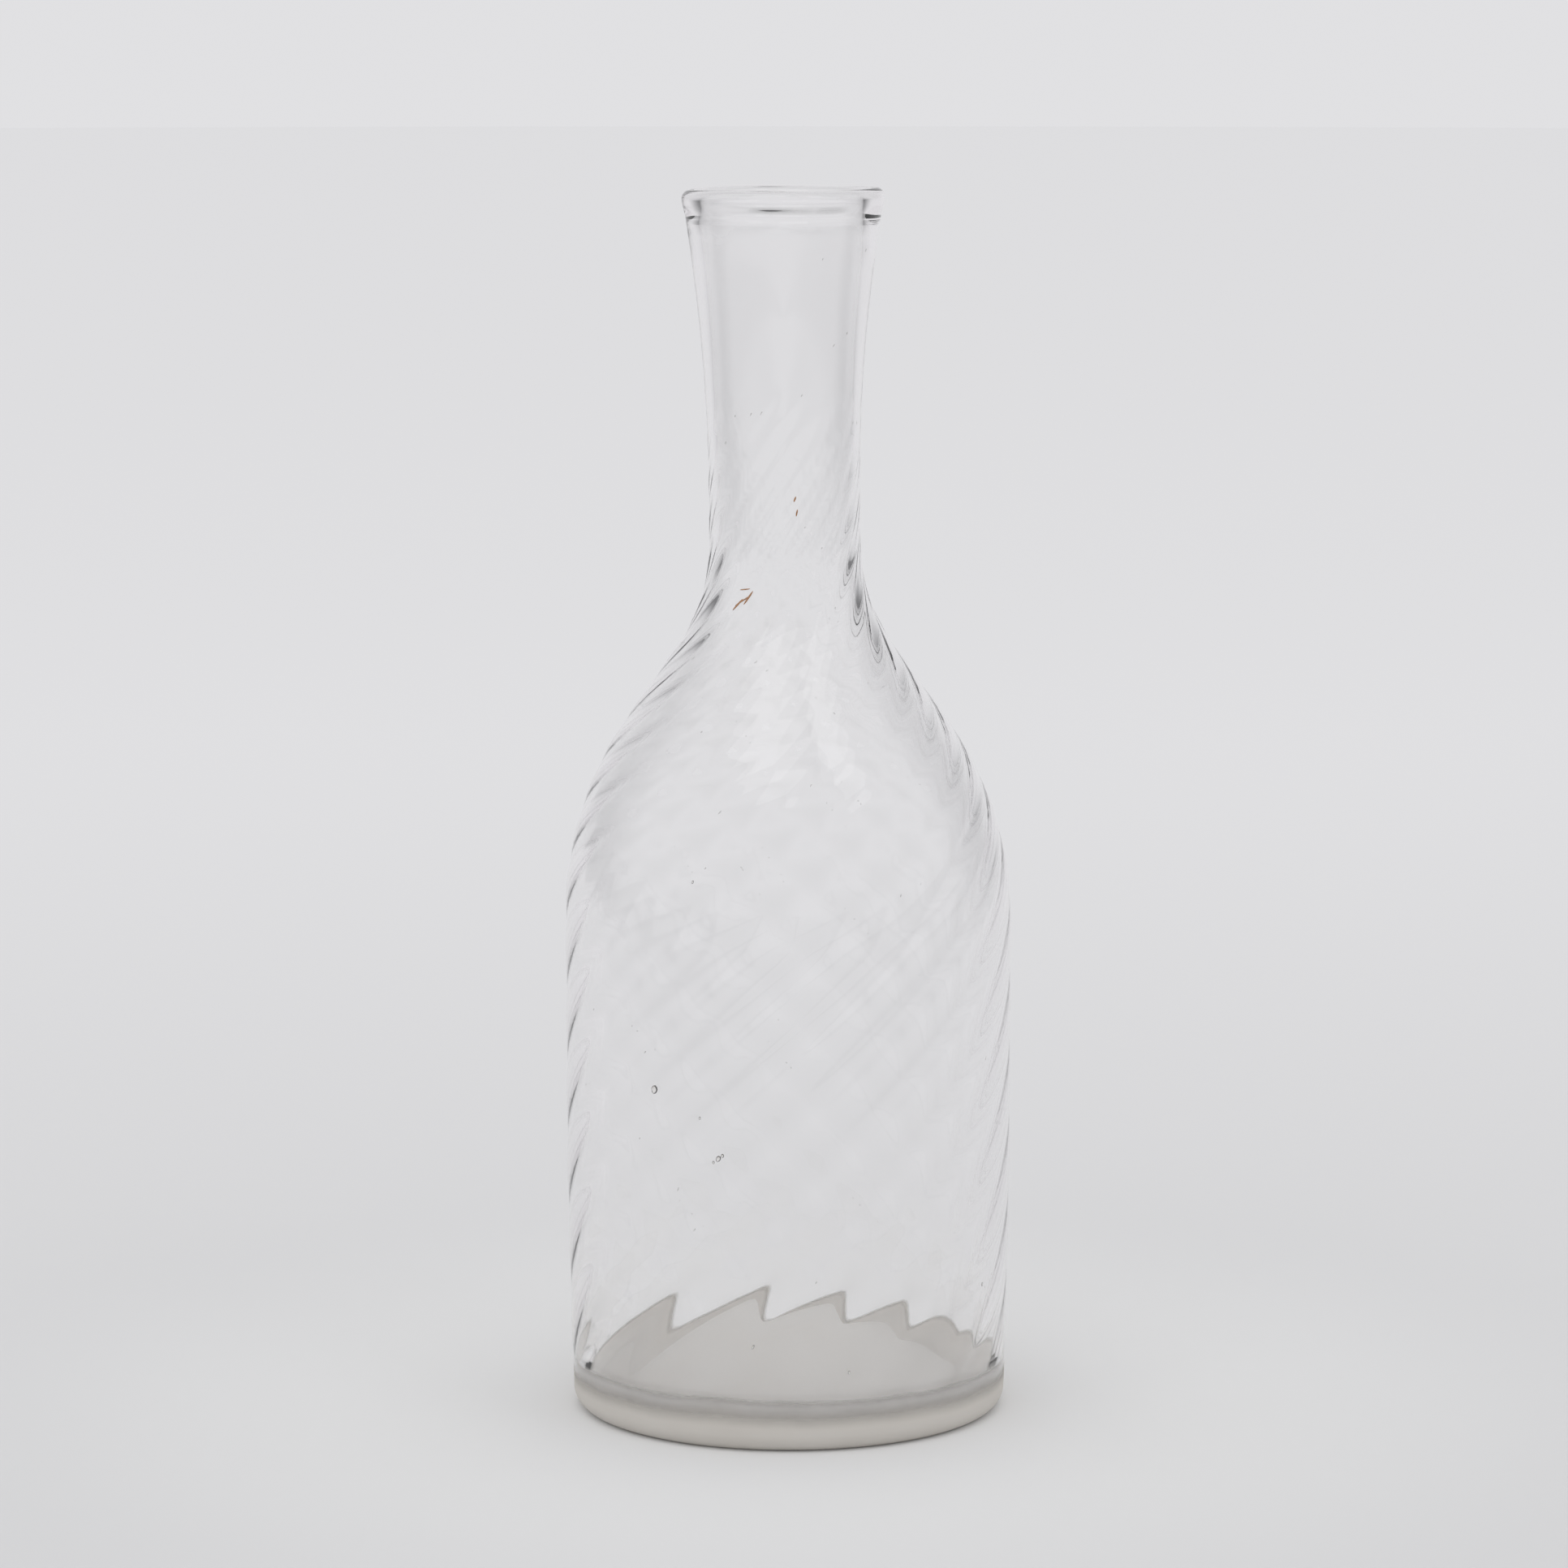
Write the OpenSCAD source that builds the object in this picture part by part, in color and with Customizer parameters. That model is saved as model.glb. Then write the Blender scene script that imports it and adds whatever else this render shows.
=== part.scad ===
// Blown glass carafe with spiral ribs, a flared mouth and a pushed-up base.
// One vessel, divided face to face into the zones in which the glass is worked.
// The origin is at the centre of the ring that it stands on, with +Z up.

/* [Body] */
// Outside diameter of the body where it is widest
body_d = 100; // [92:0.5:120]
// How far the outside draws in from the widest place down to the top of the heel
heel_inset = 1; // [0:0.1:6]
// Height at which the body is widest
belly_h = 72; // [40:1:100]
// Height at which the body turns into the shoulder
body_h = 112; // [104:1:150]
// Wall thickness of the body, between crest and hollow of the ribs
body_wall = 2; // [1.6:0.1:4]

/* [Shoulder] */
// Radius of the shoulder's outward curve
shoulder_r = 76.5; // [50:0.5:100]
// Radius of the inward curve from the shoulder into the neck
root_r = 40.5; // [20:0.5:60]
// Angle of the shoulder's straight slope, from upright
slope_angle = 35.5; // [30:0.5:40]

/* [Neck] */
// Outside diameter of the neck at its narrowest
neck_d = 33.6; // [28:0.2:44]
// Length of the narrow stretch of the neck
waist_h = 11; // [4:1:30]
// Wall thickness at the narrow stretch of the neck
neck_wall = 1.7; // [1.4:0.1:3.5]
// Height of the flare, from the narrow stretch up to the lip
flare_h = 60; // [45:1:80]
// Outside diameter of the flare where it meets the lip
flare_d = 43; // [36:0.5:50]
// Wall thickness of the flare where it meets the lip
flare_wall = 2.9; // [2:0.1:3.6]

/* [Lip] */
// Outside diameter of the fire-polished lip
mouth_d = 45; // [43.5:0.5:52]
// Height of the lip
lip_h = 7.5; // [5.5:0.5:12]
// Radius of the lip's round edge
lip_r = 2; // [1.6:0.1:2.4]

/* [Base] */
// Height of the heel zone
heel_h = 12; // [10.5:0.5:16]
// Radius of the rounding under the heel
heel_round = 4.2; // [2:0.1:6]
// Width of the flat ring that the vessel stands on
foot_w = 2.6; // [1:0.1:4]
// Radius inside the vessel where the wall turns into the floor
inner_round = 5; // [2:0.5:6]
// Thickness of the pushed-up floor
floor_wall = 3.5; // [2:0.1:5]
// Height to which the middle of the floor's underside is pushed up
kick_h = 16; // [6:0.5:20]
// Diameter at which the pushed-up floor meets the heel
kick_d = 72; // [50:1:76]

/* [Pontil scar] */
// Outside diameter of the ring of broken glass under the floor
scar_d = 17; // [14:0.5:24]
// Diameter of the hollow in that ring
scar_hollow_d = 10; // [3:0.5:12]
// Height of that ring
scar_h = 1.2; // [0.5:0.1:2.5]

/* [Ribs] */
// Number of ribs round the vessel
ribs = 17; // [12:1:24]
// Height of a rib over the flute beside it, on the outside
rib_out = 0.32; // [0.1:0.02:0.6]
// Height of a rib over the flute beside it, on the inside
rib_in = 0.14; // [0.04:0.02:0.6]
// Share of each rib's spacing that its ridge takes, and the wide flute leaves
ridge_share = 0.3; // [0.2:0.05:0.6]
// Turn of the ribs at the heel, in degrees for each millimetre of height
heel_twist = 1.08; // [0.2:0.01:2]
// Turn of the ribs at the top of the body, in degrees for each millimetre of height
body_twist = 1.36; // [0.2:0.01:2]
// Turn of the ribs on the neck, in degrees for each millimetre of height
neck_twist = 2.25; // [0.5:0.01:3]
// Angle at which the first rib starts, from +X
rib_phase = 14.5; // [0:0.5:21]
// Height over which the ribs rise out of the heel
rib_start_h = 16; // [8:1:40]
// Height over which the ribs die away up the neck
rib_end_h = 40; // [15:1:60]
// Height of the plain flare under the lip, above the ribs
plain_h = 28; // [20:1:36]

/* [Hidden] */

$fn = 96;
// Mesh columns across one rib, and mesh rings up the three ribbed zones
rib_columns = 6;
body_rings = 13;
shoulder_rings = 12;
neck_rings = 8;
// Points along an arc, and the height step over which a slope is measured
arc_steps = 8;
slope_step = 0.1;
// Flat land around the pontil scar
scar_land = 1.5;
clear_glass = [0.80, 0.83, 0.84, 0.45];
broken_glass = [0.88, 0.89, 0.88, 0.8];

// Heights of the zones
arc_out = shoulder_r * (1 - cos(slope_angle));
arc_in = root_r * (1 - cos(slope_angle));
slope_low_h = body_h + shoulder_r * sin(slope_angle);
slope_drop = (body_d - neck_d) / 2 - arc_out - arc_in;
slope_high_h = slope_low_h + slope_drop / tan(slope_angle);
neck_h = slope_high_h + root_r * sin(slope_angle);
waist_top_h = neck_h + waist_h;
lip_low_h = waist_top_h + flare_h;
rib_top_h = lip_low_h - plain_h;
total_h = lip_low_h + lip_h;

// Radii under the vessel
foot_out_r = outer_r(heel_round) - heel_round;
foot_in_r = foot_out_r - foot_w;
land_r = scar_d / 2 + scar_land;

// Smooth step from 0 to 1, and the sum under it
function held(t) = min(max(t, 0), 1);
function smooth(t) = pow(held(t), 2) * (3 - 2 * held(t));
function smooth_sum(t) = pow(held(t), 3) - pow(held(t), 4) / 2 + max(t - 1, 0);

// Mean outside radius at height z
function body_r(z) = body_d / 2 - heel_inset * pow(max(belly_h - z, 0) / (belly_h - heel_h), 2);
function shoulder_arc_r(z) = body_r(z) - shoulder_r + sqrt(pow(shoulder_r, 2) - pow(z - body_h, 2));
function slope_r(z) = body_d / 2 - arc_out - (z - slope_low_h) * tan(slope_angle);
function root_arc_r(z) = neck_d / 2 + root_r - sqrt(pow(root_r, 2) - pow(neck_h - z, 2));
function flare_r(z) = neck_d / 2 + (flare_d - neck_d) / 2 * pow(max(z - waist_top_h, 0) / flare_h, 2);
function outer_r(z) =
    z <= body_h ? body_r(z)
    : z <= slope_low_h ? shoulder_arc_r(z)
    : z <= slope_high_h ? slope_r(z)
    : z <= neck_h ? root_arc_r(z)
    : flare_r(z);

// Wall thickness square to the surface, and the mean inside radius, at height z
function wall(z) =
    z <= neck_h
    ? body_wall + (neck_wall - body_wall) * smooth((z - body_h) / (neck_h - body_h))
    : neck_wall + (flare_wall - neck_wall) * smooth((z - waist_top_h) / flare_h);
function slope(z) = (outer_r(z + slope_step) - outer_r(z - slope_step)) / (2 * slope_step);
function inner_r(z) = outer_r(z) - wall(z) * sqrt(1 + pow(slope(z), 2));

// Strength of the ribs at height z, and the angle that they have turned through
function rib_strength(z) = smooth((z - heel_h) / rib_start_h) * smooth((rib_top_h - z) / rib_end_h);
function rib_in_here(z) = rib_in * (wall(z) / body_wall) * rib_strength(z);
function turn(z) =
    let (low = min(z, body_h), high = z - low, span = slope_low_h - body_h)
    rib_phase + heel_twist * low + (body_twist - heel_twist) * pow(low, 2) / (2 * body_h)
    + body_twist * high + (neck_twist - body_twist) * span * smooth_sum(high / span);

// Section of a rib at a share of its spacing from the ridge's middle: a round ridge that runs into a wide
// flute. It is 1 on the ridge and 0 in the flute, and rib_mean is its mean.
ridge_bend = 4 / ridge_share;
flute_bend = ridge_bend * ridge_share / (1 - ridge_share);
rib_mean = ridge_share - ridge_bend * pow(ridge_share, 3) / 12 + flute_bend * pow(1 - ridge_share, 3) / 12;
function rib_section(share) =
    let (aside = abs(share - round(share)))
    aside < ridge_share / 2 ? 1 - ridge_bend * pow(aside, 2) : flute_bend * pow(0.5 - aside, 2);

// Closed ribbed tube through the given heights. Its columns run along the ribs.
module ribbed_tube(heights) {
    columns = ribs * rib_columns;
    rows = len(heights);
    sides = [
        for (inside = [false, true]) for (z = heights) for (j = [0 : columns - 1])
            let (
                angle = 360 * j / columns + turn(z),
                wave = rib_section(j / rib_columns) - rib_mean,
                r = inside
                    ? inner_r(z) - rib_in_here(z) * wave
                    : outer_r(z) + rib_out * rib_strength(z) * wave
            )
            [r * cos(angle), r * sin(angle), z]
    ];
    function at(inside, k, j) = ((inside ? rows : 0) + k) * columns + j % columns;
    outer_faces = [
        for (k = [0 : rows - 2]) for (j = [0 : columns - 1]) each [
            [at(false, k, j), at(false, k + 1, j), at(false, k + 1, j + 1)],
            [at(false, k, j), at(false, k + 1, j + 1), at(false, k, j + 1)]
        ]
    ];
    inner_faces = [
        for (k = [0 : rows - 2]) for (j = [0 : columns - 1]) each [
            [at(true, k, j), at(true, k + 1, j + 1), at(true, k + 1, j)],
            [at(true, k, j), at(true, k, j + 1), at(true, k + 1, j + 1)]
        ]
    ];
    low_faces = [
        for (j = [0 : columns - 1])
            [at(false, 0, j), at(false, 0, j + 1), at(true, 0, j + 1), at(true, 0, j)]
    ];
    high_faces = [
        for (j = [0 : columns - 1])
            [at(true, rows - 1, j), at(true, rows - 1, j + 1), at(false, rows - 1, j + 1), at(false, rows - 1, j)]
    ];
    polyhedron(points = sides, faces = concat(outer_faces, inner_faces, low_faces, high_faces), convexity = 10);
}

// Evenly spaced heights of a zone's mesh rings
function zone(low, high, rings) = [for (k = [0 : rings]) low + (high - low) * k / rings];

// Underside and top of the pushed-up floor at radius r
function under_z(r) = kick_h * (1 - pow(max(r, land_r) / foot_in_r, 2));
function floor_z(r) = under_z(r) + floor_wall;
function floor_points(low, high, lift) = [
    for (k = [0 : arc_steps]) let (r = low + (high - low) * k / arc_steps) [r, under_z(r) + lift]
];
function reversed(points) = [for (k = [len(points) - 1 : -1 : 0]) points[k]];

// Heel: the rounded edge, the ring that the vessel stands on and the turn of the wall into the floor
module heel() {
    corner_r = inner_r(heel_h) - inner_round;
    floor_tilt = atan(2 * kick_h * corner_r / pow(foot_in_r, 2));
    meet_r = corner_r - inner_round * sin(floor_tilt);
    corner_z = floor_z(meet_r) + inner_round * cos(floor_tilt);
    rounding = [
        for (k = [0 : arc_steps])
            let (a = -90 + 90 * k / arc_steps)
            [foot_out_r + heel_round * cos(a), heel_round + heel_round * sin(a)]
    ];
    corner = [
        for (k = [0 : arc_steps])
            let (a = -(90 + floor_tilt) * k / arc_steps)
            [corner_r + inner_round * cos(a), corner_z + inner_round * sin(a)]
    ];
    color(clear_glass)
        rotate_extrude()
            polygon(concat(
                rounding,
                [[outer_r(heel_h), heel_h], [inner_r(heel_h), heel_h]],
                corner,
                reversed(floor_points(kick_d / 2, meet_r, floor_wall)),
                floor_points(kick_d / 2, foot_in_r, 0)
            ));
}

// Floor pushed up into the body
module kick_up() {
    color(clear_glass)
        rotate_extrude()
            polygon(concat(
                [[0, under_z(0)]],
                floor_points(land_r, kick_d / 2, 0),
                reversed(floor_points(land_r, kick_d / 2, floor_wall)),
                [[0, floor_z(0)]]
            ));
}

// Ring of broken glass left by the pontil rod, on the flat land under the floor
module pontil_scar() {
    color(broken_glass)
        translate([0, 0, under_z(0) - scar_h])
            difference() {
                cylinder(d = scar_d, h = scar_h);
                translate([0, 0, -scar_h])
                    cylinder(d = scar_hollow_d, h = 3 * scar_h);
            }
}

// Wall of the body, from the heel to the shoulder
module body_wall() {
    color(clear_glass)
        ribbed_tube(zone(heel_h, body_h, body_rings));
}

// Shoulder, from the body to the neck
module shoulder() {
    color(clear_glass)
        ribbed_tube(zone(body_h, neck_h, shoulder_rings));
}

// Lower neck, on which the ribs die away
module neck() {
    color(clear_glass)
        ribbed_tube(zone(neck_h, rib_top_h, neck_rings));
}

// Plain flare below the lip
module flare() {
    outside = [for (z = zone(rib_top_h, lip_low_h, arc_steps)) [outer_r(z), z]];
    inside = [for (z = zone(rib_top_h, lip_low_h, arc_steps)) [inner_r(z), z]];
    color(clear_glass)
        rotate_extrude()
            polygon(concat(outside, reversed(inside)));
}

// Thick lip with its edge melted round
module lip() {
    edge_z = total_h - lip_r;
    edge_r = mouth_d / 2 - lip_r;
    // The lip's two sides run in curves from the flare's faces to the round edge
    function side(low_r, high_r) = [
        for (k = [0 : arc_steps])
            [low_r + (high_r - low_r) * smooth(k / arc_steps), lip_low_h + (edge_z - lip_low_h) * k / arc_steps]
    ];
    edge = [
        for (k = [1 : 2 * arc_steps - 1])
            let (a = 90 * k / arc_steps)
            [edge_r + lip_r * cos(a), edge_z + lip_r * sin(a)]
    ];
    color(clear_glass)
        rotate_extrude()
            polygon(concat(
                side(outer_r(lip_low_h), mouth_d / 2),
                edge,
                reversed(side(inner_r(lip_low_h), edge_r - lip_r))
            ));
}

heel();
kick_up();
pontil_scar();
body_wall();
shoulder();
neck();
flare();
lip();
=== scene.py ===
"""Clear blown glass carafe with spiral ribs, on a pale sweep in soft light.

The vessel's sizes are in millimetres and become metres where its meshes are made. The set, the lights and
the camera are in metres. Z is up, and the viewer stands towards -Y.
"""
import math

import bmesh
import bpy
import numpy as np
from mathutils import Matrix, Vector


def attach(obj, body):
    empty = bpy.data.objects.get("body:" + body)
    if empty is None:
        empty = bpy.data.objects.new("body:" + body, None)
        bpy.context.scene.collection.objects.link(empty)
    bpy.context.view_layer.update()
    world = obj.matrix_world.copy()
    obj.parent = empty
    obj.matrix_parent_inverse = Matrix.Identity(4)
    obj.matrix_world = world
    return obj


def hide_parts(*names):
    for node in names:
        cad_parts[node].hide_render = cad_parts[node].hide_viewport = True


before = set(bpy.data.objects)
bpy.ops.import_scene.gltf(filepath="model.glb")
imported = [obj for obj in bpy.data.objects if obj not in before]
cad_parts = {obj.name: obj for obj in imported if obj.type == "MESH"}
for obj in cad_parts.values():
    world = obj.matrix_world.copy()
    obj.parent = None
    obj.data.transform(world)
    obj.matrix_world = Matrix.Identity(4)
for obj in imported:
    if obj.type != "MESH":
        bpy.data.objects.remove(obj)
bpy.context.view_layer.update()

MM = 0.001
NODES = ("heel", "kick_up", "body_wall", "shoulder", "neck", "flare", "lip")

# Body: outside radius, how far it draws in down to the heel and from which height, its top, and its wall
BODY_R = 50.0
HEEL_INSET = 1.0
BELLY_H = 72.0
BODY_H = 112.0
BODY_WALL = 2.0

# Shoulder: radii of its outward and inward curves, and the slope between them, measured from the axis
SHOULDER_R = 76.5
ROOT_R = 40.5
SLOPE = math.radians(35.5)

# Neck: radius, height of its straight waist, and wall
NECK_R = 16.8
WAIST_H = 11.0
NECK_WALL = 1.7

# Flare below the lip, and the lip with its edge melted round
FLARE_H = 60.0
FLARE_R = 21.5
FLARE_WALL = 2.9
MOUTH_R = 22.5
LIP_H = 7.5
LIP_ROUND = 2.0

# Heel: height, outside rounding, width of the ring that it stands on, and rounding inside
HEEL_H = 12.0
HEEL_ROUND = 4.2
FOOT_W = 2.6
INNER_ROUND = 5.0

# Floor: thickness, height to which it is pushed up, and the pontil scar with the flat round it
FLOOR_WALL = 3.5
KICK_H = 16.0
SCAR_R = 8.5
SCAR_LAND = 1.5

# Ribs: count, height over the flutes outside and inside, and the ridge's share of their spacing
RIBS = 17
RIB_OUT = 0.30
RIB_IN = 0.08
RIDGE_SHARE = 0.4

# Turn of the ribs in degrees for each millimetre of height, and the angle at which the first one starts
HEEL_TWIST = 1.08
BODY_TWIST = 1.36
NECK_TWIST = 2.25
RIB_PHASE = 14.5

# Heights at which the ribs start and end, and heights over which they rise and die away
RIB_START = 3.0
RIB_START_H = 9.0
RIB_TOP = 239.0
RIB_END_H = 70.0

# Drifts of the vessel's axis towards +X: how far, from which height, and over what height
LEANS = ((-1.19, 90.0, 170.0), (-0.1, 0.0, 60.0))

# Unevenness of the rim's height and of the lip's inside. Each wave has its share of it, its number of
# crests round the rim, and its shift in radians.
RIM_RISE = 0.3
RISE_WAVES = ((1.0, 1, math.radians(60)), (0.4, 3, 0.0))
RIM_SWELL = 0.25
SWELL_WAVES = ((1.0, 2, 0.6), (0.6, 5, 0.0))

# Columns of the vessel's mesh, and rows along each stretch of its section
COLUMNS = RIBS * 16
UNDER_ROWS = 40
FOOT_ROWS = 4
HEEL_ROWS = 12
WALL_ROWS = 106
LIP_ROWS = 12
EDGE_ROWS = 24
CORNER_ROWS = 16
FLOOR_ROWS = 36

# Half the height over which the slope of the wall is measured
SLOPE_STEP = 0.1

# Mineral film inside the base, and a mottled greyish skin round its outside. Each covers the floor out to
# start_r.
# Beyond that it thins out over the last stretch, fade, below its top edge. Cover is the most that it hides,
# and its colour is mottled from dark to pale.
FILM = {
    "start_r": 43.0,
    "top": 13.0,
    "fade": 2.0,
    "cover": 0.97,
    "dark": (0.93, 0.90, 0.86),
    "pale": (0.99, 0.975, 0.955),
}
OUTER_SKIN = {
    "start_r": 43.0,
    "top": 11.0,
    "fade": 5.0,
    "cover": 0.88,
    "dark": (0.60, 0.57, 0.53),
    "pale": (0.68, 0.655, 0.62),
}

# Layers on the base: face that each lies along, and the heights over it between which it lies
LAYERS = (
    ("mineral_film", "inside", 0.03, 0.18, FILM),
    ("cloudy_skin", "inside", -0.30, -0.12, FILM),
    # The outer layer is a mottled greyish skin over the underside and up the heel
    ("outer_base_skin", "outside", -0.06, -0.02, OUTER_SKIN),
)

# Columns of the layers' meshes, rows of the film and of the outer skin up the wall, and points of the
# vessel's section along which the outer skin lies
LAYER_COLUMNS = RIBS * 8
FILM_ROWS = 12
OUTER_SKIN_ROWS = 4
OUTER_SKIN_POINTS = UNDER_ROWS + (FOOT_ROWS - 1) + (HEEL_ROWS - 1) + OUTER_SKIN_ROWS

# Mottling of the layers for each metre, its detail, and how far it drags down their top edges
MOTTLE_SCALE = 45.0
MOTTLE_DETAIL = 4.0
RAGGED_EDGE = 2.0

# Glass: index of refraction, and the faint cast that its thickness takes on
GLASS_IOR = 1.52
GLASS_CAST = (0.88, 0.80, 0.85)
GLASS_CAST_DENSITY = 12.0

# Rust stones in the glass: their two colours, and how fine the mix of them is
RUST_DARK = (0.55, 0.22, 0.09)
RUST_PALE = (0.90, 0.52, 0.26)
RUST_GRAIN = 1500.0

# Bubbles, a little greyer than the glass and with a lower index
BUBBLE_TINT = (0.93, 0.92, 0.90)
BUBBLE_IOR = 1.45

# Grain of the broken glass of the scar, and its depth in metres
SCAR_GRAIN = 900.0
SCAR_GRAIN_DEPTH = 0.0004

# Inclusions: angle from the front towards +X, height, length, width, thickness, tilt, depth in the wall
RUST_STONES = [
    (-35.5, 183.6, 3.6, 0.5, 0.3, 38, 0.85),
    (-31.5, 184.6, 4.6, 0.35, 0.3, 55, 0.85),
    (-27.5, 185.2, 3.8, 0.5, 0.3, 30, 0.85),
    (-31.0, 187.0, 2.6, 0.3, 0.3, 80, 0.85),
    (8.2, 207.1, 1.3, 0.4, 0.3, 20, 0.8),
    (9.5, 204.1, 1.6, 0.35, 0.3, 10, 0.8),
]
BUBBLES = [
    (-36.4, 79.7, 2.0, 1.7, 0.7, 20, 1.0),
    (-18.1, 65.7, 1.5, 1.1, 0.6, 30, 1.0),
    (-17.0, 66.4, 0.9, 0.7, 0.5, 0, 1.0),
    (-19.4, 64.8, 0.7, 0.6, 0.5, 0, 1.0),
    (-23.1, 74.4, 0.7, 0.5, 0.4, 0, 1.0),
    (-25.6, 126.2, 0.8, 0.5, 0.4, 20, 1.0),
    (61.1, 32.4, 0.9, 0.7, 0.5, 0, 1.0),
    (15.8, 17.9, 0.8, 0.6, 0.5, 0, 1.0),
    (-9.3, 23.9, 1.1, 0.5, 0.4, 25, 1.0),
]

# Seeds, the smallest bubbles, spread all round by a fixed draw: count, ranges of height, angle, length and
# tilt, and the width, thickness and depth in the wall that they share
SEEDS = 70
SEED_DRAW = 17
SEED_HEIGHTS = (30.0, 262.0)
SEED_ANGLES = (-180, 180)
SEED_LENGTHS = (0.4, 1.0)
SEED_TILTS = (20, 45)
SEED_WIDTH = 0.22
SEED_THICKNESS = 0.2
SEED_DEPTH = 0.75

# Tones of the set: the sweep behind the object, a dark flag at each side, the room in front, the floor
# towards the viewer darkened by painted shade, and the floor close round the object lightened by painted
# light that thins the object's shadow
PALE = (0.752, 0.750, 0.765)
FLAG = (0.16, 0.16, 0.165)
FRONT = (0.72, 0.72, 0.73)
FLOOR_FRONT_PAINTED_SHADE = (0.645, 0.645, 0.655)
FLOOR_NEAR_PAINTED_LIGHT = (0.76, 0.76, 0.765)

# Degrees from straight behind the object at which the flag starts to give way, and has given way, to the
# sweep and to the room
SWEEP_EDGE = (55, 22)
ROOM_EDGE = (66, 90)

# Distance in front of the object from which the sweep widens on the floor
SWEEP_START = 1.3

# Floor: radius, sides, places along Y between which its painted front shade turns into the sweep's tone,
# and distances from the object over which its painted light round the object fades out
FLOOR_R = 9.0
FLOOR_SIDES = 128
PAINTED_SHADE_FADE = (-0.3, 1.2)
PAINTED_LIGHT_FADE = (0.04, 0.22)

# Strength of the plain light from all round
ROOM_LIGHT = 0.97

# Two softboxes above and in front: direction from the shoulder, width, height and power in watts
SOFTBOX_AWAY = 1.4
SOFTBOX_AIM_H = 0.150
SOFTBOXES = (
    ("wide_softbox", (-0.18, -0.465, 0.89), 0.70, 0.75, 1.2),
    ("slim_softbox", (0.42, -0.42, 0.89), 0.36, 0.75, 0.6),
)

# Camera: distance in front, height, degrees that it looks down, place along X, its lens and sensor in
# millimetres, and the distances between which it sees
CAMERA_BACK = 1.300
CAMERA_UP = 0.3298
CAMERA_PITCH = 8.24
CAMERA_SIDE = -0.0011
CAMERA_LENS = 134.52
CAMERA_SENSOR = 36.0
CAMERA_CLIP = (0.05, 100.0)

# Light bounces through the glass, and between other surfaces
GLASS_BOUNCES = 24
OTHER_BOUNCES = 8

# How far the shoulder's outward and inward curves reach across, and the heights that follow
ARC_OUT = SHOULDER_R * (1 - math.cos(SLOPE))
ARC_IN = ROOT_R * (1 - math.cos(SLOPE))
SLOPE_LOW = BODY_H + SHOULDER_R * math.sin(SLOPE)
SLOPE_HIGH = SLOPE_LOW + (BODY_R - NECK_R - ARC_OUT - ARC_IN) / math.tan(SLOPE)
NECK_H = SLOPE_HIGH + ROOT_R * math.sin(SLOPE)
WAIST_TOP = NECK_H + WAIST_H
LIP_LOW = WAIST_TOP + FLARE_H
TOTAL_H = LIP_LOW + LIP_H


def smooth(t):
    """0 up to t = 0, 1 from t = 1, and a smooth rise between them."""
    t = min(max(t, 0.0), 1.0)
    return t * t * (3 - 2 * t)


def smooth_sum(t):
    """Area under smooth() from 0 to t."""
    held = min(max(t, 0.0), 1.0)
    return held**3 - held**4 / 2 + max(t - 1.0, 0.0)


def outer_r(z):
    """Mean outside radius at height z."""
    if z <= BODY_H:
        return BODY_R - HEEL_INSET * (max(BELLY_H - z, 0) / (BELLY_H - HEEL_H)) ** 2
    if z <= SLOPE_LOW:
        return BODY_R - SHOULDER_R + math.sqrt(SHOULDER_R**2 - (z - BODY_H) ** 2)
    if z <= SLOPE_HIGH:
        return BODY_R - ARC_OUT - (z - SLOPE_LOW) * math.tan(SLOPE)
    if z <= NECK_H:
        return NECK_R + ROOT_R - math.sqrt(ROOT_R**2 - (NECK_H - z) ** 2)
    return NECK_R + (FLARE_R - NECK_R) * (max(z - WAIST_TOP, 0) / FLARE_H) ** 2


def outer_slope(z):
    """Change of the outside radius for each millimetre of height."""
    return (outer_r(z + SLOPE_STEP) - outer_r(z - SLOPE_STEP)) / (2 * SLOPE_STEP)


def wall(z):
    """Thickness of the glass at height z, square to its face."""
    if z <= NECK_H:
        return BODY_WALL + (NECK_WALL - BODY_WALL) * smooth((z - BODY_H) / (NECK_H - BODY_H))
    return NECK_WALL + (FLARE_WALL - NECK_WALL) * smooth((z - WAIST_TOP) / FLARE_H)


def inner_r(z):
    """Mean inside radius at height z."""
    return outer_r(z) - wall(z) * math.hypot(1, outer_slope(z))


def rib_strength(z):
    """Share of their full height that the ribs have at height z."""
    return smooth((z - RIB_START) / RIB_START_H) * smooth((RIB_TOP - z) / RIB_END_H)


def turn(z):
    """Angle in degrees from +X at which the first rib stands at height z."""
    low = min(z, BODY_H)
    high = z - low
    span = SLOPE_LOW - BODY_H
    body = HEEL_TWIST * low + (BODY_TWIST - HEEL_TWIST) * low**2 / (2 * BODY_H)
    above = (NECK_TWIST - BODY_TWIST) * span * smooth_sum(high / span)
    return RIB_PHASE + body + BODY_TWIST * high + above


def rib_section(share):
    """Height of a rib at a share of its spacing from the ridge's middle, from 1 on it to 0 in the flute,
    less its mean."""
    ridge_bend = 4 / RIDGE_SHARE
    flute_bend = ridge_bend * RIDGE_SHARE / (1 - RIDGE_SHARE)
    mean = RIDGE_SHARE - ridge_bend * RIDGE_SHARE**3 / 12 + flute_bend * (1 - RIDGE_SHARE) ** 3 / 12
    aside = np.abs(share - np.round(share))
    ridge = 1 - ridge_bend * aside**2
    flute = flute_bend * (0.5 - aside) ** 2
    return np.where(aside < RIDGE_SHARE / 2, ridge, flute) - mean


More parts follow.
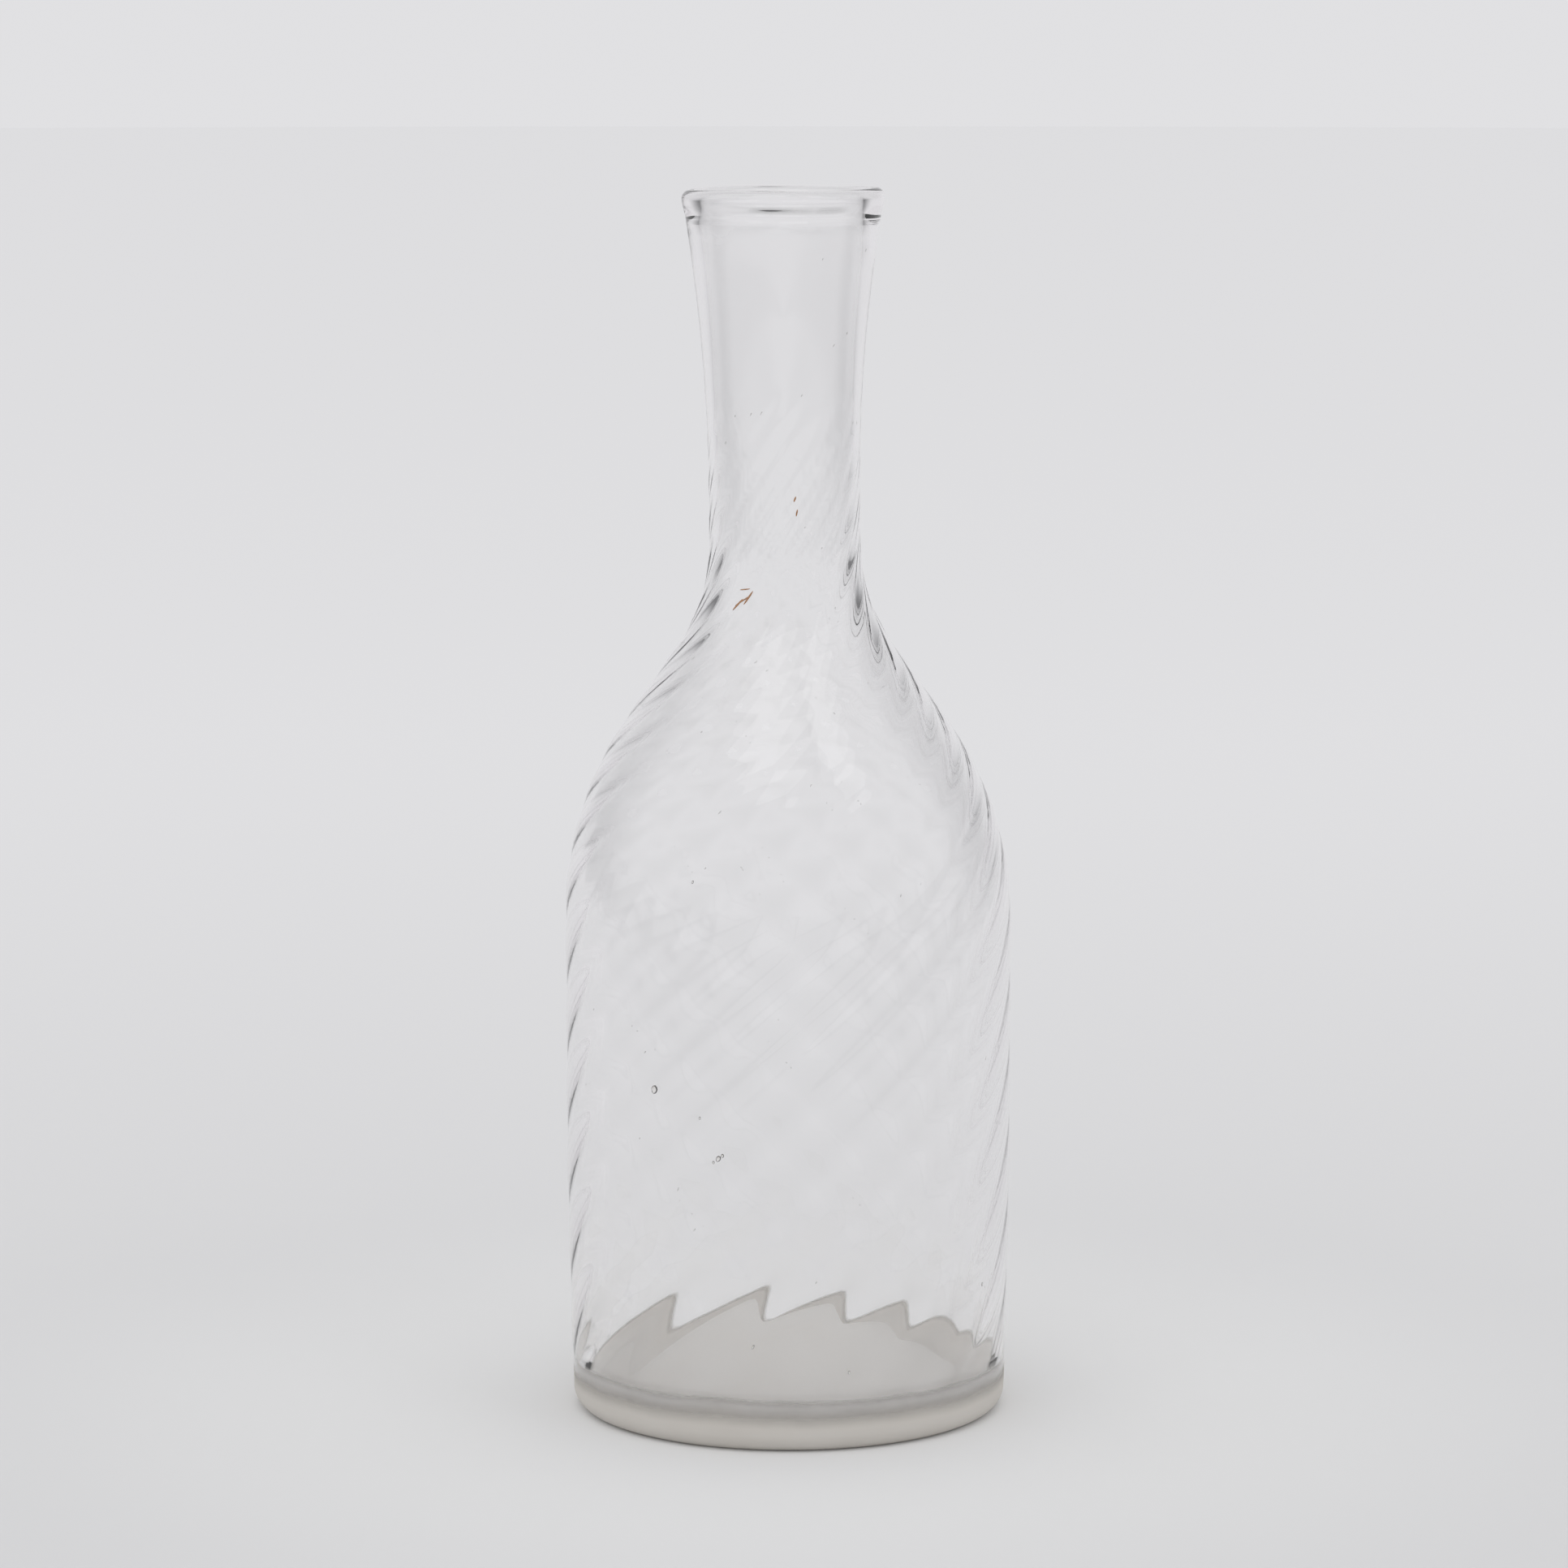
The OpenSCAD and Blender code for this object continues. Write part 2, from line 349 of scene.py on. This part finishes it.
# Base: edges of the ring that it stands on, edge of the flat round the scar, middle of the turn into the
# floor, tilt of the floor there, and radius at which the two meet
FOOT_OUT = outer_r(HEEL_ROUND) - HEEL_ROUND
FOOT_IN = FOOT_OUT - FOOT_W
LAND_R = SCAR_R + SCAR_LAND
CORNER_R = inner_r(HEEL_H) - INNER_ROUND
FLOOR_TILT = math.atan(2 * KICK_H * CORNER_R / FOOT_IN**2)
MEET_R = CORNER_R - INNER_ROUND * math.sin(FLOOR_TILT)


def under_z(r):
    """Height of the underside at radius r."""
    return KICK_H * (1 - (max(r, LAND_R) / FOOT_IN) ** 2)


# Height of the middle of the turn from the wall into the floor
CORNER_Z = under_z(MEET_R) + FLOOR_WALL + INNER_ROUND * math.cos(FLOOR_TILT)


def lip():
    """Outside of the lip, its round edge, and its inside."""
    edge_z = TOTAL_H - LIP_ROUND
    edge_r = MOUTH_R - LIP_ROUND
    low_out, low_in = outer_r(LIP_LOW), inner_r(LIP_LOW)
    rise = np.linspace(0, 1, LIP_ROWS)
    points = []
    for t in rise[1:]:
        r = low_out + (MOUTH_R - low_out) * smooth(t)
        points.append((r, LIP_LOW + (edge_z - LIP_LOW) * t, 0.0))
    for a in np.radians(np.linspace(0, 180, EDGE_ROWS))[1:]:
        points.append((edge_r + LIP_ROUND * math.cos(a), edge_z + LIP_ROUND * math.sin(a), 0.0))
    for t in rise[-2:0:-1]:
        r = low_in + (edge_r - LIP_ROUND - low_in) * smooth(t)
        points.append((r, LIP_LOW + (edge_z - LIP_LOW) * t, 0.0))
    return points


def inner_wall(high, rows):
    """Inside of the wall from a height down to its turn into the floor."""
    heights = np.linspace(high, CORNER_Z, rows)
    return [(inner_r(z), z, -RIB_IN * (wall(z) / BODY_WALL) * rib_strength(z)) for z in heights]


def inner_floor():
    """Inside of the turn and of the pushed-up floor, in to the axis."""
    points = []
    for a in np.linspace(0, -(math.pi / 2 + FLOOR_TILT), CORNER_ROWS)[1:]:
        points.append((CORNER_R + INNER_ROUND * math.cos(a), CORNER_Z + INNER_ROUND * math.sin(a), 0.0))
    return points + [(r, under_z(r) + FLOOR_WALL, 0.0) for r in np.linspace(MEET_R, 0.0, FLOOR_ROWS)[1:]]


def outline():
    """Closed section from the middle of the underside, round the outside and lip, to the middle of the
    floor. Each point is radius, height, and the rib height that its surface carries outwards."""
    points = [(r, under_z(r), 0.0) for r in np.linspace(0.0, FOOT_IN, UNDER_ROWS)]
    points += [(r, 0.0, 0.0) for r in np.linspace(FOOT_IN, FOOT_OUT, FOOT_ROWS)[1:]]
    for a in np.radians(np.linspace(-90, 0, HEEL_ROWS))[1:]:
        points.append((FOOT_OUT + HEEL_ROUND * math.cos(a), HEEL_ROUND * (1 + math.sin(a)), 0.0))
    for z in np.linspace(HEEL_ROUND, LIP_LOW, WALL_ROWS)[1:]:
        points.append((outer_r(z), z, RIB_OUT * rib_strength(z)))
    return points + lip() + inner_wall(LIP_LOW, WALL_ROWS) + inner_floor()


def layer(face, low, high):
    """Section of a thin closed layer along a face that runs out from the axis, between two distances
    above the face."""
    points = np.array([(r, z) for r, z, rib in face])
    along = np.gradient(points, axis=0)
    normal = np.stack([-along[:, 1], along[:, 0]], 1)
    normal /= np.linalg.norm(normal, axis=1)[:, None]
    sides = []
    for distance in (low, high):
        moved = points + normal * distance
        moved[0, 0] = 0.0
        sides.append([(r, z, rib) for (r, z), (_, _, rib) in zip(moved, face)])
    return sides[0] + sides[1][::-1]


def lean(z):
    """Sideways drift of the vessel's axis at height z."""
    return sum(drift * smooth((z - start) / rise) for drift, start, rise in LEANS)


def ripple(angle, waves):
    """Sum of waves round the rim, each given by its share, its crests and its shift."""
    return sum(share * np.cos(crests * angle + shift) for share, crests, shift in waves)


def rim_rise(angle, z):
    """How much higher than level the hand-finished rim stands."""
    return RIM_RISE * ripple(angle, RISE_WAVES) * smooth((z - LIP_LOW) / LIP_H)


def rim_swell(angle, r, z):
    """Change of radius where the inside of the lip swells inwards, its edge melted round."""
    inside = smooth((MOUTH_R - LIP_ROUND - r) / LIP_ROUND) * smooth((z - LIP_LOW + LIP_H) / LIP_H)
    return -RIM_SWELL * inside * ripple(angle, SWELL_WAVES)


def revolve(name, section, columns):
    """Closed mesh from a section that starts and ends on the axis. Its columns run along the ribs, and a
    point on the axis closes each end."""
    column = np.arange(columns)
    wave = rib_section(column * RIBS / columns)
    rings = []
    for r, z, rib in section[1:-1]:
        angle = 2 * np.pi * column / columns + math.radians(turn(z))
        radius = r + rib * wave + rim_swell(angle, r, z)
        height = z + rim_rise(angle, z)
        rings.append(np.stack([radius * np.cos(angle) + lean(z), radius * np.sin(angle), height], 1))
    poles = [[lean(0), 0, section[0][1]], [lean(0), 0, section[-1][1]]]
    verts = np.concatenate([*rings, poles]) * MM
    ring = np.arange(len(rings) - 1)[:, None] * columns
    beside = (column + 1) % columns
    corners = [ring + column, ring + beside, ring + columns + beside, ring + columns + column]
    faces = np.stack(corners, 2).reshape(-1, 4).tolist()
    last_ring = (len(rings) - 1) * columns
    first_pole = last_ring + columns
    for a, b in zip(column.tolist(), beside.tolist()):
        faces.append([first_pole, b, a])
    for a, b in zip(column.tolist(), beside.tolist()):
        faces.append([first_pole + 1, last_ring + a, last_ring + b])
    mesh = bpy.data.meshes.new(name)
    mesh.from_pydata(verts.tolist(), [], faces)
    mesh.shade_smooth()
    mesh.update()
    return mesh


def new_object(name, data):
    obj = bpy.data.objects.new(name, data)
    bpy.context.scene.collection.objects.link(obj)
    return obj


def set_inputs(tree, node, inputs):
    """Gives inputs of a node, by name or number, a value, a colour or a link from another node's output."""
    for key, value in inputs.items():
        socket = node.inputs[key]
        if isinstance(value, bpy.types.NodeSocket):
            tree.links.new(value, socket)
        elif isinstance(socket, bpy.types.NodeSocketColor):
            socket.default_value = (*value, 1)
        else:
            socket.default_value = value


def add_node(tree, kind, inputs=None, **settings):
    """New shader node with its settings made first, and then its inputs."""
    node = tree.nodes.new("ShaderNode" + kind)
    for name, value in settings.items():
        setattr(node, name, value)
    set_inputs(tree, node, inputs or {})
    return node


def maths(tree, operation, *values):
    """Output of a calculation with numbers, each a value or an output."""
    return add_node(tree, "Math", dict(enumerate(values)), operation=operation).outputs["Value"]


def vector_maths(tree, operation, *values):
    """Node for a calculation with vectors, each a value or an output."""
    return add_node(tree, "VectorMath", dict(enumerate(values)), operation=operation)


def smooth_step(tree, value, start, end, low=0.0, high=1.0):
    """Output that goes smoothly from low to high while the value goes from start to end."""
    inputs = {"Value": value, "From Min": start, "From Max": end, "To Min": low, "To Max": high}
    return add_node(tree, "MapRange", inputs, interpolation_type="SMOOTHSTEP").outputs["Result"]


def mix_colours(tree, factor, first, second):
    """Colour that goes from the first to the second while the factor goes from 0 to 1."""
    inputs = {"Factor": factor, "A": first, "B": second}
    return add_node(tree, "Mix", inputs, data_type="RGBA").outputs["Result"]


def without_height(tree, vector):
    return vector_maths(tree, "MULTIPLY", vector, (1, 1, 0)).outputs["Vector"]


def new_material(name, look):
    """Material, its node tree, and its Principled shader with the inputs that look gives."""
    mat = bpy.data.materials.new(name)
    mat.use_nodes = True
    shader = mat.node_tree.nodes["Principled BSDF"]
    set_inputs(mat.node_tree, shader, look)
    return mat, mat.node_tree, shader


def glass_material():
    """Clear glass with a faint cast that grows with the way of the light through it."""
    look = {"Base Color": (1, 1, 1), "Roughness": 0.0, "IOR": GLASS_IOR, "Transmission Weight": 1.0}
    mat, tree, _ = new_material("clear_glass", look)
    absorb = add_node(tree, "VolumeAbsorption", {"Color": GLASS_CAST, "Density": GLASS_CAST_DENSITY})
    set_inputs(tree, tree.nodes["Material Output"], {"Volume": absorb.outputs["Volume"]})
    return mat


def film_material(name, start_r, top, fade, cover, dark, pale):
    """Mottled layer over the base that clears towards its ragged top edge on the wall; inside, a dried
    film.
    """
    mat, tree, shader = new_material(name, {"Roughness": 0.7, "Specular IOR Level": 0.2})
    place = add_node(tree, "TexCoord").outputs["Object"]
    clouds = {"Vector": place, "Scale": MOTTLE_SCALE, "Detail": MOTTLE_DETAIL}
    mottle = add_node(tree, "TexNoise", clouds).outputs["Fac"]
    height = add_node(tree, "SeparateXYZ", {0: place}).outputs["Z"]
    ragged = maths(tree, "MULTIPLY_ADD", mottle, RAGGED_EDGE * MM, height)
    radius = vector_maths(tree, "LENGTH", without_height(tree, place)).outputs["Value"]
    on_wall = maths(tree, "GREATER_THAN", radius, start_r * MM)
    wall_height = maths(tree, "MULTIPLY", ragged, on_wall)
    hides = smooth_step(tree, wall_height, (top - fade) * MM, top * MM, cover, 0.0)
    colour = mix_colours(tree, mottle, dark, pale)
    set_inputs(tree, shader, {"Base Color": colour, "Alpha": hides})
    return mat


def rust_material():
    """Matt stones, mixed finely from dark and pale rust."""
    mat, tree, shader = new_material("rust_stone", {"Roughness": 0.6})
    grain = add_node(tree, "TexNoise", {"Scale": RUST_GRAIN}).outputs["Fac"]
    set_inputs(tree, shader, {"Base Color": mix_colours(tree, grain, RUST_DARK, RUST_PALE)})
    return mat


def bubble_material():
    """Clear bubbles that bend light less than the glass round them."""
    look = {"Base Color": BUBBLE_TINT, "Roughness": 0.05, "IOR": BUBBLE_IOR, "Transmission Weight": 1.0}
    return new_material("bubble", look)[0]


def scar_material():
    """Glass roughened by where it was broken off."""
    look = {"Roughness": 0.35, "IOR": GLASS_IOR, "Transmission Weight": 1.0}
    mat, tree, shader = new_material("broken_glass", look)
    grain = add_node(tree, "TexNoise", {"Scale": SCAR_GRAIN}).outputs["Fac"]
    bump = add_node(tree, "Bump", {"Strength": 0.6, "Distance": SCAR_GRAIN_DEPTH, "Height": grain})
    set_inputs(tree, shader, {"Normal": bump.outputs["Normal"]})
    return mat


def make_vessel():
    glass = new_object("glass_vessel", revolve("glass_vessel", outline(), COLUMNS))
    glass.data.materials.append(glass_material())
    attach(glass, "root")
    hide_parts(*NODES)


def make_layers():
    inside = (inner_wall(FILM["top"], FILM_ROWS) + inner_floor())[::-1]
    faces = {"inside": inside, "outside": outline()[:OUTER_SKIN_POINTS]}
    for name, face, low, high, look in LAYERS:
        film = new_object(name, revolve(name, layer(faces[face], low, high), LAYER_COLUMNS))
        film.data.materials.append(film_material(name, **look))
        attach(film, "root")


def place_on_wall(angle, height, depth, tilt):
    """Frame inside the glass of the wall: X across, Y outwards, Z up the surface, turned by tilt."""
    a = math.radians(angle)
    out = Vector((math.sin(a), -math.cos(a), 0.0))
    up = (out * outer_slope(height) + Vector((0, 0, 1))).normalized()
    across = Vector((math.cos(a), math.sin(a), 0.0))
    outward = up.cross(across)
    spot = out * (outer_r(height) - depth) + Vector((lean(height), 0, height))
    axes = Matrix((across, outward, up)).transposed().to_4x4()
    return Matrix.Translation(spot * MM) @ axes @ Matrix.Rotation(math.radians(tilt), 4, "Y")


def add_bead(bm, angle, height, length, width, thick, tilt, depth):
    """Closed slim ellipsoid inside the wall."""
    size = Matrix.Diagonal((width * MM / 2, thick * MM / 2, length * MM / 2, 1))
    matrix = place_on_wall(angle, height, depth, tilt) @ size
    bmesh.ops.create_icosphere(bm, subdivisions=2, radius=1.0, matrix=matrix)


def bead_object(name, beads, mat):
    bm = bmesh.new()
    for bead in beads:
        add_bead(bm, *bead)
    mesh = bpy.data.meshes.new(name)
    bm.to_mesh(mesh)
    bm.free()
    mesh.shade_smooth()
    mesh.materials.append(mat)
    piece = new_object(name, mesh)
    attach(piece, "root")
    return piece


def scattered_seeds():
    """Seeds at random places, the same on each run: all their heights are drawn first, then the rest."""
    rng = np.random.default_rng(SEED_DRAW)
    seeds = []
    for height in rng.uniform(*SEED_HEIGHTS, SEEDS):
        angle = rng.uniform(*SEED_ANGLES)
        length = rng.uniform(*SEED_LENGTHS)
        tilt = rng.uniform(*SEED_TILTS)
        seeds.append((angle, height, length, SEED_WIDTH, SEED_THICKNESS, tilt, SEED_DEPTH))
    return seeds


def make_inclusions():
    bead_object("rust_stones", RUST_STONES, rust_material())
    bubbles = BUBBLES + scattered_seeds()
    bead_object("seeds_and_bubbles", bubbles, bubble_material())


def finish_scar():
    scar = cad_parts["pontil_scar"]
    scar.data.materials.clear()
    scar.data.materials.append(scar_material())


def surroundings(tree, direction, pale):
    """Colour of the set in a direction: the pale sweep behind the object, a dark flag at each side of it
    and a plain room all round. The camera itself sees the sweep in every direction."""
    unit = vector_maths(tree, "NORMALIZE", without_height(tree, direction)).outputs["Vector"]
    backwards = add_node(tree, "SeparateXYZ", {0: unit}).outputs["Y"]
    colour = FLAG
    for tone, edge in ((pale, SWEEP_EDGE), (FRONT, ROOM_EDGE)):
        start, end = (math.cos(math.radians(degrees)) for degrees in edge)
        colour = mix_colours(tree, smooth_step(tree, backwards, start, end), colour, tone)
    camera_ray = add_node(tree, "LightPath").outputs["Is Camera Ray"]
    return mix_colours(tree, camera_ray, colour, pale)


def straight_ray(tree):
    """1 for a ray that no matt surface has scattered since the camera, 0 for one that lights a surface."""
    return maths(tree, "LESS_THAN", add_node(tree, "LightPath").outputs["Diffuse Depth"], 0.5)


def make_world():
    """The set as it is seen straight, in reflections and through the glass. Matt surfaces are lit by plain
    light in its place."""
    world = bpy.data.worlds.new("studio")
    bpy.context.scene.world = world
    world.use_nodes = True
    tree = world.node_tree
    direction = add_node(tree, "TexCoord").outputs["Generated"]
    seen = tree.nodes["Background"]
    set_inputs(tree, seen, {"Color": surroundings(tree, direction, PALE)})
    light = add_node(tree, "Background", {"Color": (1, 1, 1), "Strength": ROOM_LIGHT})
    path = add_node(tree, "LightPath")
    shown = path.outputs["Is Camera Ray"]
    for ray in ("Is Glossy Ray", "Is Transmission Ray"):
        shown = maths(tree, "MAXIMUM", shown, path.outputs[ray])
    shown = maths(tree, "MULTIPLY", shown, straight_ray(tree))
    choose = add_node(tree, "MixShader", {0: shown, 1: light.outputs[0], 2: seen.outputs[0]})
    set_inputs(tree, tree.nodes["World Output"], {"Surface": choose.outputs[0]})


def floor_material():
    """Matt sweep, darkened a little towards the viewer by painted shade and made paler close to the object
    by painted light that thins the object's shadow. It is seen with the tones of the set, and lights other
    surfaces with that painted floor tone."""
    mat, tree, shader = new_material("sweep", {"Roughness": 0.9, "Specular IOR Level": 0.0})
    place = add_node(tree, "TexCoord").outputs["Object"]
    backwards = add_node(tree, "SeparateXYZ", {0: place}).outputs["Y"]
    # Painted shade: the floor's tone darkens towards the viewer until it turns into the sweep's
    plain = mix_colours(tree, smooth_step(tree, backwards, *PAINTED_SHADE_FADE), FLOOR_FRONT_PAINTED_SHADE, PALE)
    radius = vector_maths(tree, "LENGTH", place).outputs["Value"]
    # Painted light: the floor's tone is paler close round the object, which thins the object's shadow there
    painted_floor_tone = mix_colours(tree, smooth_step(tree, radius, *PAINTED_LIGHT_FADE), FLOOR_NEAR_PAINTED_LIGHT, plain)
    from_front = vector_maths(tree, "ADD", place, (0, SWEEP_START, 0)).outputs["Vector"]
    seen = surroundings(tree, from_front, painted_floor_tone)
    set_inputs(tree, shader, {"Base Color": mix_colours(tree, straight_ray(tree), painted_floor_tone, seen)})
    return mat


def make_floor():
    ring = []
    for side in range(FLOOR_SIDES):
        angle = 2 * math.pi * side / FLOOR_SIDES
        ring.append((FLOOR_R * math.cos(angle), FLOOR_R * math.sin(angle), 0.0))
    mesh = bpy.data.meshes.new("sweep")
    mesh.from_pydata(ring, [], [list(range(FLOOR_SIDES))])
    floor = new_object("sweep", mesh)
    mesh.materials.append(floor_material())


def make_lights():
    for name, way, width, height, power in SOFTBOXES:
        light = bpy.data.lights.new(name, "AREA")
        light.shape = "RECTANGLE"
        light.size = width
        light.size_y = height
        light.energy = power
        direction = Vector(way).normalized()
        lamp = new_object(name, light)
        lamp.location = Vector((0, 0, SOFTBOX_AIM_H)) + direction * SOFTBOX_AWAY
        lamp.rotation_euler = direction.to_track_quat("Z", "Y").to_euler()


def make_camera():
    data = bpy.data.cameras.new("camera")
    data.lens = CAMERA_LENS
    data.sensor_width = CAMERA_SENSOR
    data.clip_start, data.clip_end = CAMERA_CLIP
    camera = new_object("camera", data)
    camera.location = (CAMERA_SIDE, -CAMERA_BACK, CAMERA_UP)
    camera.rotation_euler = (math.radians(90 - CAMERA_PITCH), 0, 0)
    bpy.context.scene.camera = camera


make_vessel()
make_layers()
make_inclusions()
finish_scar()
make_world()
make_floor()
make_lights()
make_camera()

scene = bpy.context.scene
scene.view_settings.view_transform = "Standard"
scene.cycles.max_bounces = GLASS_BOUNCES
scene.cycles.transmission_bounces = GLASS_BOUNCES
scene.cycles.glossy_bounces = OTHER_BOUNCES
scene.cycles.diffuse_bounces = OTHER_BOUNCES
